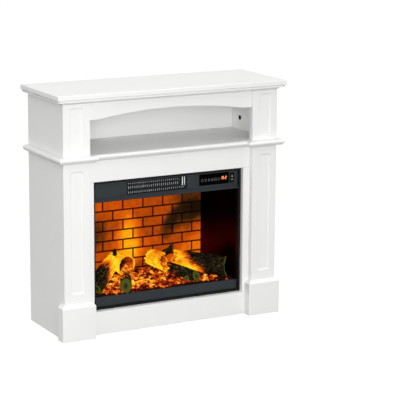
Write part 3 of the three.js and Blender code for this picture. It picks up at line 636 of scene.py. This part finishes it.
def add_log(bm, layers, start, end, r0, r1, seed, glow, ends, around, bark=3.0, bend=0.0, faces=None):
    """A tapered, ridged log from start to end, given in mm from INSERT. glow(t, down, front) says how
    strongly it is lit at t along it. An end is cut, hollow, torn or round. The start's face looks along
    faces, where that is given."""
    a, b = at(*start), at(*end)
    axis = (b - a).normalized()
    side = axis.cross(Vector((0, 0, 1))).normalized()
    up = side.cross(axis)
    length = (b - a).length / MM
    steps = max(6, int(length / RING_STEP))
    shift = Vector((seed * 13.7, seed * 5.1, seed * 9.3))
    if faces:
        sawn = Vector(faces).normalized()
        steepest = SAW_SHIFT * math.tan(math.acos(min(1.0, abs(sawn.dot(axis)))))
    rings = []
    for i in range(steps + 1):
        t = i / steps
        ring = []
        for j in range(around):
            angle = 2 * math.pi * j / around
            flat = Vector((math.cos(angle), math.sin(angle), 0))
            radius = r0 + (r1 - r0) * t
            along = t * length
            swell = noise.noise(Vector((flat.x * 1.1, flat.y * 1.1, along * 0.022)) + shift)
            ridge = bark_ridge(flat, radius, along, shift)
            grow = radius * (1 + 0.07 * swell) + bark * (ridge - 0.75)
            slip = 0.0
            for place, kind in enumerate(ends):
                away = abs(t - place) * length
                if kind == "torn":
                    slip += max(0.0, 1 - away / TORN_REACH) * end_jag(flat, seed) * TORN_DEPTH
                elif kind == "round":
                    grow *= 1 - 0.5 * max(0.0, 1 - away / ROUND_REACH) ** 2
            spoke = side * flat.x + up * flat.y
            if faces:
                slant = -spoke.dot(sawn) / axis.dot(sawn)
                slip += max(0.0, 1 - along / (SAW_FADE * r0)) * (slant + steepest) * radius
            centre = a + axis * (along + slip) * MM + up * bend * math.sin(math.pi * t) * MM
            vert = bm.verts.new(inside_firebox(centre + spoke * grow * MM))
            vert[layers["ridge"]] = ridge
            vert[layers["glow"]] = glow(t, -spoke.z, -spoke.y)
            vert[layers["ring"]] = 1.0
            grain = Vector((flat.x * radius, flat.y * radius, along * 0.16))
            vert[layers["grain"]] = grain * MM + shift
            ring.append(vert)
        rings.append(ring)
    for first, second in zip(rings, rings[1:]):
        face_band(bm, first, second)
    cap_log(bm, layers, rings[0], sawn if faces else -axis, ends[0], r0, glow(0.0, 0.0, 0.0))
    cap_log(bm, layers, rings[-1], axis, ends[1], r1, glow(1.0, 0.0, 0.0))


# Rings of a log's end: share of the radius, and how far out the face stands, in shares of the radius.
CAPS = {
    "cut": [(0.95, 0.03), (0.9, 0.0), (0.72, 0.015), (0.54, 0.0), (0.36, 0.02), (0.18, -0.02)],
    "hollow": [(0.95, 0.06), (0.87, 0.06), (0.8, -0.04), (0.74, -0.3), (0.66, -0.62), (0.5, -0.86),
               (0.25, -1.0)],
    "torn": [(0.9, 0.02), (0.8, -0.1), (0.7, -0.36), (0.52, -0.5), (0.26, -0.6)],
    "round": [(0.8, 0.1), (0.55, 0.18), (0.3, 0.22)],
}
# How strongly the middle of an end is lit, as a share of the log's own glow there.
INNER_GLOW = {"cut": 0.2, "hollow": 0.24, "torn": 0.4, "round": 0.6}


def cap_log(bm, layers, rim, out, kind, radius, glow):
    """Closes the end of a log with rings that step inwards from its rim."""
    material = 1 if kind == "cut" else 0
    middle = sum((v.co for v in rim), Vector()) / len(rim)
    previous = rim
    for share, stand in CAPS[kind]:
        inner = []
        for vert in rim:
            spread = (vert.co - middle) * share
            grain = noise.noise(vert.co * 160.0 + Vector((share * 9, 0, 0))) * 0.05
            place = middle + spread + out * (stand + grain) * radius * MM
            vert_in = bm.verts.new(inside_firebox(place))
            vert_in[layers["ring"]] = share
            vert_in[layers["grain"]] = vert_in.co * 0.7
            vert_in[layers["ridge"]] = 0.5
            vert_in[layers["glow"]] = glow * (1.0 if share > 0.84 else INNER_GLOW[kind] + 0.4 * share)
            inner.append(vert_in)
        face_band(bm, previous, inner, material)
        previous = inner
    tip = bm.verts.new(inside_firebox(middle + out * CAPS[kind][-1][1] * radius * MM))
    tip[layers["ring"]] = 0.0
    tip[layers["grain"]] = tip.co * 0.7
    tip[layers["ridge"]] = 0.5
    tip[layers["glow"]] = glow * 0.3
    for j, vert in enumerate(previous):
        face = bm.faces.new((vert, previous[(j + 1) % len(previous)], tip))
        face.material_index = material


def log_piece(name, node, logs, looks):
    bm = bmesh.new()
    layers = {key: bm.verts.layers.float.new(key) for key in ("ridge", "glow", "ring")}
    layers["grain"] = bm.verts.layers.float_vector.new("grain")
    for log in logs:
        add_log(bm, layers, **log)
    piece(name, bm, looks, "surround", [node])


def log_set():
    """The six logs. Each piece holds a log and the knots or branches that stand on it."""
    looks = [bark_look(), cut_wood()]

    # The terms in down and front are painted light that brightens a log's underside and the side that
    # faces forward.
    def right_glow(t, down, front):
        return 0.97 * smoothstep(t + 0.24 * down + 0.06 * front, 0.42, 0.92)

    def left_glow(t, down, front):
        return 0.17 + 0.8 * smoothstep(t + 0.2 * down + 0.1 * front, 0.36, 0.84)

    def full(level, fade=0.0):
        return lambda t, down, front: level + 0.12 * down - fade * t

    log_piece("bark_log_right", "log_right", [
        dict(start=(246, 42, 69), end=(72, 92, 112), r0=37, r1=26, seed=1, glow=right_glow,
             ends=("cut", "torn"), around=120, faces=(0.74, -0.66, 0.1)),
    ], looks)
    log_piece("bark_log_left", "log_left", [
        dict(start=(-246, 36, 62), end=(-158, 84, 127), r0=28, r1=25, seed=2, glow=left_glow,
             ends=("cut", "torn"), around=110),
    ], looks)
    log_piece("bark_log_arch", "log_arch", [
        dict(start=(-124, 52, 118), end=(-136, 112, 122), r0=35, r1=29, seed=3, glow=full(0.95),
             ends=("hollow", "torn"), around=96, bark=2.4, bend=2.0),
        dict(start=(-148, 84, 140), end=(-149, 86, 167), r0=8, r1=6, seed=8, glow=full(0.05),
             ends=("round", "round"), around=32, bark=1.2),
    ], looks)
    log_piece("bark_log_centre", "log_centre", [
        dict(start=(15, 54, 112), end=(-14, 104, 124), r0=29, r1=26, seed=4, glow=full(0.9, -0.08),
             ends=("torn", "torn"), around=96, bark=2.4, faces=(0.62, -0.72, 0.2)),
        dict(start=(22, 92, 126), end=(60, 98, 142), r0=12, r1=9, seed=9, glow=full(0.16),
             ends=("round", "round"), around=48, bark=2.0),
        dict(start=(57, 97, 138), end=(60, 98, 155), r0=7, r1=6, seed=12, glow=full(0.1),
             ends=("round", "round"), around=32, bark=1.2),
    ], looks)
    log_piece("bark_log_front", "log_front", [
        dict(start=(120, 24, 58), end=(42, 62, 88), r0=17, r1=19, seed=5, glow=full(0.0, -0.22),
             ends=("cut", "torn"), around=80, bark=2.4, faces=(0.5, -0.85, 0.15)),
        dict(start=(74, 14, 60), end=(84, 36, 68), r0=8, r1=9, seed=10, glow=full(0.0),
             ends=("cut", "round"), around=36, bark=1.0, faces=(-0.4, -0.85, 0.2)),
    ], looks)
    log_piece("bark_log_stub", "log_stub", [
        dict(start=(-141, 22, 56), end=(-120, 62, 86), r0=19, r1=16, seed=6, glow=full(0.0),
             ends=("cut", "round"), around=80, bark=2.0, faces=(-0.42, -0.88, 0.1)),
        dict(start=(-126, 38, 97), end=(-128, 48, 82), r0=8, r1=9, seed=11, glow=full(0.0),
             ends=("cut", "round"), around=36, bark=1.0),
    ], looks)


# ---------------------------------------------------------------- embers
EMBERS = ember_look()
_, BED_FRONT, BED_FLOOR = from_insert(BED_LOW)
_, BED_BACK, BED_TOP = from_insert(BED_HIGH)
BED_KNEE = BED_FRONT + 60       # the bed falls steeply in front of this depth, and gently behind it
FRONT_DROP, BACK_DROP = 34.0, 8.0
BED_SUNK = 4.0                  # mm that the heaped surface lies below the CAD bed's slope
BED_COOLER = 0.42               # the bed shows this much less heat than the coals on it


def bed_height(x, y):
    """Height in mm of the ember bed's surface: the CAD bed's slope, heaped unevenly."""
    if y < BED_KNEE:
        steep = (BED_KNEE - y) / (BED_KNEE - BED_FRONT)
        slope = BED_TOP - BACK_DROP - (FRONT_DROP - BACK_DROP) * steep
    else:
        slope = BED_TOP - BACK_DROP * (BED_BACK - y) / (BED_BACK - BED_KNEE)
    heap = 5.0 * noise.noise(Vector((x * 0.018, y * 0.03, 2.0)))
    heap += 2.5 * noise.noise(Vector((x * 0.07, y * 0.07, 5.0)))
    return slope + heap - BED_SUNK


# Hot places of the bed: the middle and the reach in mm, across and in depth, and how hot.
HOT_SPOTS = [
    (-120, 66, 120, 60, 1.0),
    (4, 56, 96, 54, 0.84),
    (172, 40, 50, 26, 0.55),
]


def bed_heat(x, y):
    """How hot the bed is at a place, from 0, charred, to 1, yellow."""
    hottest = 0.0
    for middle_x, middle_y, reach_x, reach_y, level in HOT_SPOTS:
        away = ((x - middle_x) / reach_x) ** 2 + ((y - middle_y) / reach_y) ** 2
        hottest = max(hottest, level * math.exp(-away))
    patches = 0.3 * noise.noise(Vector((x * 0.024, y * 0.034, 1.0)))
    edge = smoothstep(y, 14, 40)
    return (0.16 + 0.66 * hottest + patches) * (0.5 + 0.5 * edge)


def ember_bed():
    bm = bmesh.new()
    heat = bm.verts.layers.float.new("warmth")
    margin, side_margin = 0.5, 1.0
    y_low, y_high = BED_FRONT + margin, BED_BACK - margin
    columns, rows = 150, 44
    grid = []
    for r in range(rows + 1):
        y = y_low + (y_high - y_low) * r / rows
        half = half_width(y) - side_margin
        line = []
        for c in range(columns + 1):
            x = -half + 2 * half * c / columns
            lump = 1.0 - abs(noise.noise(Vector((x * 0.11, y * 0.11, 0.0)))) * 2
            z = bed_height(x, y) + 2.5 * lump + 1.2 * noise.noise(Vector((x * 0.4, y * 0.4, 3.0)))
            vert = bm.verts.new(at(x, y, z))
            vert[heat] = bed_heat(x, y) - BED_COOLER + 0.2 * (lump - 0.5)
            line.append(vert)
        grid.append(line)
    floor_z = INSERT.z + BED_FLOOR * MM
    close_grid(bm, grid, lambda place: (place.x, place.y, floor_z))
    piece("ember_bed_surface", bm, [EMBERS], "surround", ["ember_bed"])


COALS = 540
MOUTH_COALS = 120
MOUTH = (-124, 52, 112)         # the hollow log's open end, in mm from INSERT
MOUTH_HALF = 24                 # half the width in mm of the heap in it
MOUTH_DEPTH = 15                # how far in front of MOUTH the heap reaches
HEAP_FOOT, HEAP_RISE = -36, 44  # where the heap starts, from MOUTH, and how high it rises
CORNERS = 13                    # corners drawn for each coal, before its hull is taken


def ember_chunks():
    """Broken coals heaped on the bed and in the hollow log's mouth: faceted lumps, each with its own
    heat."""
    rng = random.Random(41)
    bm = bmesh.new()
    heat = bm.verts.layers.float.new("warmth")
    front_gap, back_gap, side_gap = 6, 14, 12
    depth = BED_BACK - BED_FRONT - front_gap - back_gap
    for index in range(COALS + MOUTH_COALS):
        y = BED_FRONT + front_gap + depth * rng.random()
        half = half_width(y) - side_gap
        x = rng.uniform(-half, half)
        size = rng.uniform(5.0, 12.0)
        warmth = bed_heat(x, y) + rng.uniform(-0.48, 0.24)
        centre = Vector((x, y, bed_height(x, y) + size * rng.uniform(-0.1, 0.7)))
        if index >= COALS:
            size = rng.uniform(4.0, 7.5)
            warmth = rng.uniform(0.3, 0.68)
            rise = rng.random() ** 1.5
            x = MOUTH[0] + rng.uniform(-MOUTH_HALF, MOUTH_HALF) * (1 - 0.4 * rise)
            y = MOUTH[1] + rng.uniform(-MOUTH_DEPTH, 0)
            centre = Vector((x, y, MOUTH[2] + HEAP_FOOT + HEAP_RISE * rise))
        heading = Matrix.Rotation(rng.uniform(0, math.pi), 3, "Z")
        turn = heading @ Matrix.Rotation(rng.uniform(-0.6, 0.6), 3, "X")
        scale = Vector((rng.uniform(1.0, 2.0), rng.uniform(0.5, 0.9), rng.uniform(0.3, 0.6)))
        corners = []
        for _ in range(CORNERS):
            way = Vector((rng.gauss(0, 1), rng.gauss(0, 1), rng.gauss(0, 1))).normalized()
            corner = way * rng.uniform(0.75, 1.0)
            stretched = Vector((corner.x * scale.x, corner.y * scale.y, corner.z * scale.z))
            spot = centre + turn @ stretched * size
            vert = bm.verts.new(inside_firebox(at(*spot)))
            vert[heat] = warmth + 0.16 * corner.z + rng.uniform(-0.06, 0.06)
            corners.append(vert)
        hull = bmesh.ops.convex_hull(bm, input=corners)
        bmesh.ops.delete(bm, geom=list(set(hull["geom_interior"])), context="VERTS")
    made = piece("ember_coals", bm, [EMBERS], "surround", smooth=False)
    rounding = made.modifiers.new("rounding", "BEVEL")
    rounding.width = 0.5 * MM
    rounding.segments = 1
    rounding.limit_method = "ANGLE"
    rounding.angle_limit = math.radians(20)


# ---------------------------------------------------------------- controls
def flat_band(bm, path, width, y, thickness, closed=False):
    """A strip along a path of (x, z) points in mm, standing forward of depth y by its thickness."""
    count = len(path)
    rows = []
    for i, (x, z) in enumerate(path):
        before = path[i - 1] if (i or closed) else path[i]
        after = path[(i + 1) % count] if (i < count - 1 or closed) else path[i]
        run = Vector((after[0] - before[0], after[1] - before[1])).normalized()
        across = Vector((-run.y, run.x)) * width / 2
        left, right = (x + across.x, z + across.y), (x - across.x, z - across.y)
        section = ((left, y), (right, y), (right, y - thickness), (left, y - thickness))
        rows.append([bm.verts.new(at(side[0], depth, side[1])) for side, depth in section])
    for first, second in zip(rows, rows[1:]):
        face_band(bm, first, second)
    if closed:
        face_band(bm, rows[-1], rows[0])
    else:
        bm.faces.new(rows[0])
        bm.faces.new(rows[-1][::-1])


def arc(cx, cz, radius, start, stop, steps):
    """Points on an arc from start to stop in degrees."""
    turns = [math.radians(start + (stop - start) * i / steps) for i in range(steps + 1)]
    return [(cx + radius * math.cos(turn), cz + radius * math.sin(turn)) for turn in turns]


def circle(cx, cz, radius, steps):
    return arc(cx, cz, radius, 0, 360, steps)[:-1]


# Ends of a digit's seven segments: across in widths, and up in half heights.
DIGIT_SEGMENTS = {
    "top": ((0, 2), (1, 2)),
    "middle": ((0, 1), (1, 1)),
    "bottom": ((0, 0), (1, 0)),
    "upper_left": ((0, 1), (0, 2)),
    "upper_right": ((1, 1), (1, 2)),
    "lower_left": ((0, 0), (0, 1)),
    "lower_right": ((1, 0), (1, 1)),
}
TWO = ("top", "upper_right", "middle", "lower_left", "bottom")
EIGHT = tuple(DIGIT_SEGMENTS)


def display_digits(front_y, middle_z):
    """Two generic seven-segment digits."""
    bm = bmesh.new()
    digit_w, half_h = 5.8, 4.3
    digit_z = middle_z + 1.5
    shrink, stroke, thick = 0.5, 1.25, 0.25
    for origin_x, segments in ((196.0, EIGHT), (207.0, TWO)):
        for name in segments:
            one, other = DIGIT_SEGMENTS[name]
            ends = []
            for (u, v), (other_u, other_v) in ((one, other), (other, one)):
                x = origin_x + u * digit_w
                z = digit_z + (v - 1) * half_h
                run = Vector((other_u - u, other_v - v)).normalized() * shrink
                ends.append((x + run.x, z + run.y))
            flat_band(bm, ends, stroke, front_y, thick)
    look = lit_symbol("digit_light", (1.0, 0.27, 0.05), 2.4)
    piece("display_digits", bm, [look], "surround", smooth=False)


def display_icons(front_y, middle_z):
    """Six dim touch marks: power, flame, fan, warmth, timer and light."""
    bm = bmesh.new()
    first, pitch, enlarged = 124.5, 9.1, 1.34
    stroke, thick = 0.65, 0.2
    power, flame, fan, warmth, timer, lamp = (first + i * pitch for i in range(6))
    z = middle_z - 1.5

    def mark(path, closed=False):
        flat_band(bm, path, stroke, front_y, thick, closed)

    mark(arc(power, z, 3.1, 125, 415, 18))
    mark([(power, z + 1.0), (power, z + 4.2)])
    drop = []
    for step in range(18):
        turn = math.radians(20 * step)
        pinch = 1 - 0.45 * math.cos(turn)
        drop.append((flame + 2.6 * math.sin(turn) * pinch * 0.8, z - 3.4 * math.cos(turn)))
    mark(drop, closed=True)
    for degrees in (90, 210, 330):
        tip = math.radians(degrees)
        mark(circle(fan + 1.7 * math.cos(tip), z + 1.7 * math.sin(tip), 1.6, 10), closed=True)
    for offset in (-2.4, 0.0, 2.4):
        mark([(warmth + offset + 0.7 * math.sin(k * 1.05), z - 3.2 + k * 0.92) for k in range(8)])
    mark(circle(timer, z, 3.4, 20), closed=True)
    mark([(timer, z + 2.2), (timer, z), (timer + 1.7, z - 0.8)])
    mark(circle(lamp, z + 0.6, 2.3, 14), closed=True)
    mark([(lamp - 1.1, z - 3.0), (lamp + 1.1, z - 3.0)])
    anchor = at(first, 0, z)
    for vert in bm.verts:
        vert.co.x = anchor.x + (vert.co.x - anchor.x) * enlarged
        vert.co.z = anchor.z + (vert.co.z - anchor.z) * enlarged
    look = lit_symbol("icon_light", (0.1, 0.094, 0.105), 1.0)
    piece("touch_icons", bm, [look], "surround", smooth=False)


def rocker_marks():
    """On and off marks moulded into the rocker's two halves."""
    low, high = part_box("power_rocker")
    aside = 1.0
    x = ((low.x + high.x) / 2 - INSERT.x) / MM - aside
    y = (low.y - INSERT.y) / MM
    z = ((low.z + high.z) / 2 - INSERT.z) / MM
    bm = bmesh.new()
    bar_sunk, ring_sunk, thick = 0.9, 1.3, 1.0
    flat_band(bm, [(x, z + 3.4), (x, z + 7.4)], 2.4, y + bar_sunk, thick)
    flat_band(bm, circle(x, z - 5.4, 1.6, 14), 0.7, y + ring_sunk, thick, closed=True)
    # The marks are pale by painted glow: a dark base colour that shines by itself, lit by no lamp.
    look = lit_symbol("rocker_mark_painted_glow", (0.5, 0.5, 0.5), 1.0)
    piece("rocker_marks", bm, [look], "rocker", smooth=False)


# ---------------------------------------------------------------- fastenings
# Rings of a screw's head, from its rim inwards: share of the radius, and height in radii.
SCREW_HEAD = [(1.0, 0.0), (1.0, 0.16), (0.88, 0.36), (0.66, 0.46), (0.5, 0.48), (0.34, 0.3),
              (0.12, 0.16)]
RECESS_SHARE = 0.4          # rings below this share of the radius belong to the cross recess
SCREW_RADIUS = 3.4 * MM
SCREW_INSET = 9 * MM


def add_screw(bm, centre, out, radius):
    """A pan-head screw with a cross recess, standing on a face whose normal is out."""
    side = out.orthogonal().normalized()
    up = out.cross(side)
    steps = 24
    rings = []
    for share, height in SCREW_HEAD:
        in_recess = share < RECESS_SHARE
        ring = []
        for j in range(steps):
            angle = 2 * math.pi * j / steps
            spoke = (side * math.cos(angle) + up * math.sin(angle)) * radius * share
            if in_recess:
                spoke *= (0.55 + 0.45 * abs(math.cos(2 * angle))) * 1.3
            ring.append(bm.verts.new(centre + spoke + out * radius * height))
        rings.append(ring)
    for first, second in zip(rings, rings[1:]):
        face_band(bm, first, second)
    bm.faces.new(rings[0][::-1])
    bm.faces.new(rings[-1])


def rear_screws():
    """Ten screws around the rear cover: four above, four below and one at each side."""
    low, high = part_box("rear_cover")
    left, right = low.x + SCREW_INSET, high.x - SCREW_INSET
    bottom, top = low.z + SCREW_INSET, high.z - SCREW_INSET
    spots = [(x, z) for x in (left, low.x * 0.33, high.x * 0.33, right) for z in (bottom, top)]
    spots += [(x, (low.z + high.z) / 2) for x in (left, right)]
    bm = bmesh.new()
    for x, z in spots:
        add_screw(bm, Vector((x, high.y, z)), Vector((0, 1, 0)), SCREW_RADIUS)
    piece("rear_cover_screws", bm, [SLOT_LOOKS["zinc_steel"]], "surround")


# ---------------------------------------------------------------- build
finish_cad_nodes()
brick_screen()
log_set()
ember_bed()
ember_chunks()
panel_low, panel_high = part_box("display_window")
panel_y = (panel_low.y - INSERT.y) / MM
panel_z = ((panel_low.z + panel_high.z) / 2 - INSERT.z) / MM
display_digits(panel_y + 0.05, panel_z)
display_icons(panel_y + 0.05, panel_z)
rocker_marks()
rear_screws()


# ---------------------------------------------------------------- studio
def studio_floor():
    """A pale floor that shines by itself, so that it stays as pale as the room far from the lights."""
    grey = (0.16, 0.16, 0.16)
    look = Look("studio_floor", grey, 0.95, shine=0.0)
    tinted(look, grey, 0.01, 0.6)
    look.glow((1.0, 1.0, 1.0, 1.0), 0.93)
    bm = bmesh.new()
    bmesh.ops.create_grid(bm, x_segments=8, y_segments=8, size=40.0)
    mesh = bpy.data.meshes.new("studio_floor")
    bm.to_mesh(mesh)
    bm.free()
    mesh.materials.append(look.material)
    made = bpy.data.objects.new("studio_floor", mesh)
    made.location.z = -0.5 * MM
    made.visible_diffuse = False
    bpy.context.scene.collection.objects.link(made)


def area_light(name, place, target, size, power):
    """A round lamp of a size in metres and a power in watts, which the camera doesn't see."""
    data = bpy.data.lights.new(name, "AREA")
    data.shape = "DISK"
    data.size = size
    data.energy = power
    made = bpy.data.objects.new(name, data)
    made.location = place
    made.rotation_euler = (Vector(target) - Vector(place)).to_track_quat("-Z", "Y").to_euler()
    made.visible_camera = False
    bpy.context.scene.collection.objects.link(made)


def surroundings():
    """A white room: bright where the camera sees it. As light it is dimmer, and dimmest from below."""
    world = bpy.data.worlds.new("studio")
    bpy.context.scene.world = world
    world.use_nodes = True
    tree = world.node_tree
    background = tree.nodes["Background"]
    rays = tree.nodes.new("ShaderNodeLightPath")
    way = tree.nodes.new("ShaderNodeSeparateXYZ")
    tree.links.new(tree.nodes.new("ShaderNodeTexCoord").outputs["Generated"], way.inputs[0])
    light = tree.nodes.new("ShaderNodeMapRange")
    ramp = {"From Min": -0.6, "From Max": 0.45, "To Min": 0.02, "To Max": 0.84}
    for name, value in ramp.items():
        light.inputs[name].default_value = value
    tree.links.new(way.outputs["Z"], light.inputs["Value"])
    level = tree.nodes.new("ShaderNodeMapRange")
    level.inputs["To Max"].default_value = 1.05
    tree.links.new(rays.outputs["Is Camera Ray"], level.inputs["Value"])
    tree.links.new(light.outputs["Result"], level.inputs["To Min"])
    tree.links.new(level.outputs["Result"], background.inputs["Strength"])
    background.inputs["Color"].default_value = (1.0, 1.0, 1.0, 1.0)


CAMERA_PLACE = (-2.407, -4.712, 1.544)
CAMERA_HEADING = math.radians(-28.62)
CAMERA_DOWN = math.radians(12.32)
CAMERA_ROLL = math.radians(0.4)


def photo_camera():
    data = bpy.data.cameras.new("camera")
    data.sensor_width = 36.0
    data.lens = 151.65
    data.clip_end = 200.0
    made = bpy.data.objects.new("camera", data)
    heading = Matrix.Rotation(CAMERA_HEADING, 4, "Z")
    tilt = Matrix.Rotation(math.pi / 2 - CAMERA_DOWN, 4, "X")
    roll = Matrix.Rotation(CAMERA_ROLL, 4, "Z")
    made.matrix_world = Matrix.Translation(CAMERA_PLACE) @ heading @ tilt @ roll
    bpy.context.scene.collection.objects.link(made)
    bpy.context.scene.camera = made


studio_floor()
area_light("overhead", (0.0, -0.2, 3.5), (0, 0, 0.4), 1.6, 15.0)
area_light("key_softbox", (-1.35, -2.7, 1.15), (0, 0, 0.5), 0.9, 31.0)
area_light("front_fill", (-0.7, -3.3, 0.8), (0, 0, 0.6), 0.8, 20.0)
surroundings()
photo_camera()
bpy.context.scene.view_settings.view_transform = "Standard"
